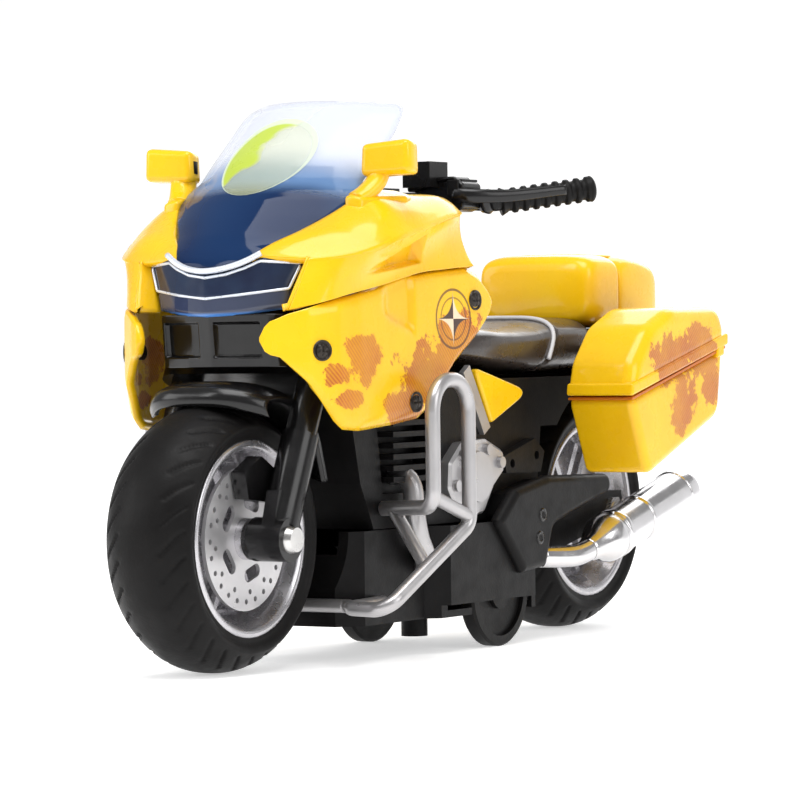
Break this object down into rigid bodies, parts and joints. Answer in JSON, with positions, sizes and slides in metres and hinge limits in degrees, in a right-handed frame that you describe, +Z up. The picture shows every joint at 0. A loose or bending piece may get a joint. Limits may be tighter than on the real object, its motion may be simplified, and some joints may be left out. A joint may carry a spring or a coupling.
{
  "type": "wind-up toy motorcycle",
  "caption": "Pull-back toy touring motorcycle with fairing, clear screen, panniers, crash bars, steering fork, rolling wheels and a geared spring motor.",
  "frame": {"origin": "on the ground, half way between the two road wheels, at the bottom centre of the bounding box", "axes": "+Z up; +Y towards the tail, so the bike points along -Y; +X to the bike's left"},
  "size_m": [0.0702, 0.157, 0.095],
  "materials": {
    "yellow_shell": "injection-moulded yellow plastic, high gloss",
    "black_frame": "charcoal black plastic, satin mould finish",
    "black_gloss": "black plastic, semi-gloss",
    "black_soft": "soft black plastic",
    "black_satin": "black plastic, satin",
    "silver_paint": "silver paint, satin",
    "plated_chrome": "vacuum-plated chrome",
    "wheel_silver": "silver paint on the wheel",
    "disc_steel": "brushed metallic",
    "tyre_rubber": "moulded rubber-like plastic",
    "axle_steel": "bright steel",
    "gear_plastic": "white nylon-like plastic",
    "screw_black": "black oxide",
    "seat_brown": "very dark brown, semi-gloss",
    "screen_clear": "clear plastic tinted navy at its foot",
    "lens_blue": "translucent navy plastic",
    "tail_red": "red translucent plastic"
  },
  "bodies": {
    "frame": {"backrest": "yellow_shell", "belly_pan": "black_frame", "clutch_cover_left": "silver_paint", "clutch_cover_right": "silver_paint", "cowl": "yellow_shell", "crash_bar_left": "silver_paint", "crash_bar_right": "silver_paint", "dashboard": "black_gloss", "engine_block": "black_frame", "exhaust_pipes": "plated_chrome", "fairing_left": "yellow_shell", "fairing_right": "yellow_shell", "frame_left": "black_frame", "frame_right": "black_frame", "frame_struts": "silver_paint", "fuel_tank": "black_gloss", "grille": "black_gloss", "headlight_lens": "lens_blue", "headlight_reflector": "plated_chrome", "heel_guard_left": "black_frame", "heel_guard_right": "black_frame", "mirror_left": "yellow_shell", "mirror_right": "yellow_shell", "motor_case_left": "black_frame", "motor_case_right": "black_frame", "muffler": "plated_chrome", "pannier_body_left": "yellow_shell", "pannier_body_right": "yellow_shell", "pannier_lid_left": "yellow_shell", "pannier_lid_right": "yellow_shell", "rear_axle": "axle_steel", "screws": "screw_black", "seat": "seat_brown", "side_cover_left": "yellow_shell", "side_cover_right": "yellow_shell", "steering_head": "black_frame", "swingarm": "black_frame", "tail_body": "black_frame", "tail_light": "tail_red", "top_case": "yellow_shell", "windshield": "screen_clear"},
    "fork": {"fork_left": "black_gloss", "fork_right": "black_gloss", "fork_yoke": "black_gloss", "front_fender": "black_gloss", "brake_caliper": "black_gloss", "front_axle": "axle_steel", "handlebar": "black_satin", "grips": "black_soft", "levers": "black_satin"},
    "front_wheel": {"front_tyre": "tyre_rubber", "front_rim": "wheel_silver", "front_discs": "disc_steel"},
    "rear_wheel": {"rear_tyre": "tyre_rubber", "rear_rim": "wheel_silver"},
    "drive": {"drive_axle": "axle_steel", "support_wheels": "black_soft"},
    "idler": {"idler_gear": "gear_plastic"},
    "spring": {"spring_gear": "gear_plastic", "mainspring": "axle_steel"}
  },
  "joints": [
    {"name": "steer", "type": "hinge", "parent": "frame", "child": "fork", "pos_m": [0, -0.0565, 0.022], "axis": [0, 0.4067, 0.9135], "range_deg": [-10, 10]},
    {"name": "front_wheel_spin", "type": "hinge", "parent": "fork", "child": "front_wheel", "pos_m": [0, -0.0565, 0.022], "axis": [1, 0, 0], "continuous": true},
    {"name": "rear_wheel_spin", "type": "hinge", "parent": "frame", "child": "rear_wheel", "pos_m": [0, 0.0565, 0.022], "axis": [1, 0, 0], "continuous": true},
    {"name": "drive_spin", "type": "hinge", "parent": "frame", "child": "drive", "pos_m": [0, 0.0115, 0.00975], "axis": [1, 0, 0], "continuous": true},
    {"name": "idler_spin", "type": "hinge", "parent": "frame", "child": "idler", "pos_m": [0, 0.00954, 0.01707], "axis": [1, 0, 0], "continuous": true},
    {"name": "spring_spin", "type": "hinge", "parent": "frame", "child": "spring", "pos_m": [0, 0.00306, 0.02479], "axis": [1, 0, 0], "continuous": true}
  ],
  "couplings": [
    {"joint": "idler_spin", "follows": "drive_spin", "ratio": -0.5},
    {"joint": "spring_spin", "follows": "drive_spin", "ratio": 0.16667}
  ]
}
